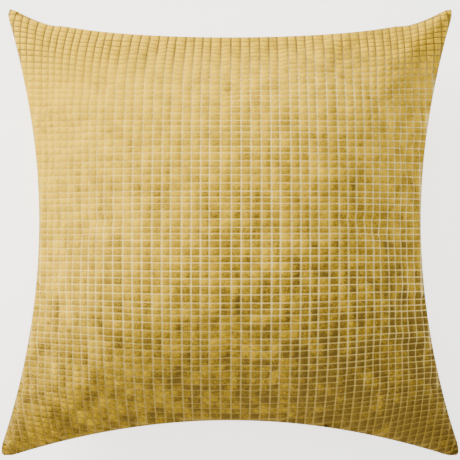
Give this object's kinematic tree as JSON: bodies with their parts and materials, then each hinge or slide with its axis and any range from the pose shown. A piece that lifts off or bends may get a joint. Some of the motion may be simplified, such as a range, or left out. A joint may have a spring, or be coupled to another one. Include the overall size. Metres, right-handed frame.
{
  "type": "throw pillow",
  "caption": "Square knife-edge throw pillow in checked cut velvet, with a zipped removable cover over a stuffed insert.",
  "frame": {"origin": "centre of the footprint, on the surface that the pillow lies on", "axes": "+Z out of the front face (the pillow lies on its back), +Y towards the zipped edge, +X to the right seen from the front"},
  "size_m": [0.4474, 0.4474, 0.145],
  "materials": {
    "front_velvet": "matte",
    "back_velvet": "matte",
    "seam_thread": "matte",
    "overlock_thread": "matte",
    "zip_tape": "matte",
    "zip_coil": "satin",
    "tape_stitching": "matte",
    "zip_stop": "satin",
    "zip_slider": "satin",
    "slider_crown": "satin",
    "pull_tab": "satin",
    "care_label": "satin",
    "insert_lining": "matte",
    "insert_fill": "matte",
    "insert_thread": "matte",
    "insert_label": "satin"
  },
  "bodies": {
    "cover": {"front_panel": "front_velvet", "back_panel": "back_velvet", "edge_seam_thread": "seam_thread", "overlock_thread": "overlock_thread", "front_zip_tape": "zip_tape", "back_zip_tape": "zip_tape", "front_zip_coil": "zip_coil", "back_zip_coil": "zip_coil", "front_tape_stitching": "tape_stitching", "back_tape_stitching": "tape_stitching", "zip_top_stops": "zip_stop", "zip_bottom_stop": "zip_stop", "care_label": "care_label", "insert_front_panel": "insert_lining", "insert_back_panel": "insert_lining", "insert_fill": "insert_fill", "insert_seam_thread": "insert_thread", "insert_closing_thread": "insert_thread", "insert_label": "insert_label"},
    "slider": {"zip_slider": "zip_slider", "slider_crown": "slider_crown"},
    "tab": {"pull_tab": "pull_tab"}
  },
  "joints": [
    {"name": "zip_slider_travel", "type": "hinge", "parent": "cover", "child": "slider", "pos_m": [0, 1.604, 0.069], "axis": [0, 0, -1], "range_deg": [0, 12.7]},
    {"name": "pull_tab_swing", "type": "hinge", "parent": "slider", "child": "tab", "pos_m": [0.15843, 0.20479, 0.069], "axis": [0, 0, -1], "range_deg": [0, 175]}
  ]
}
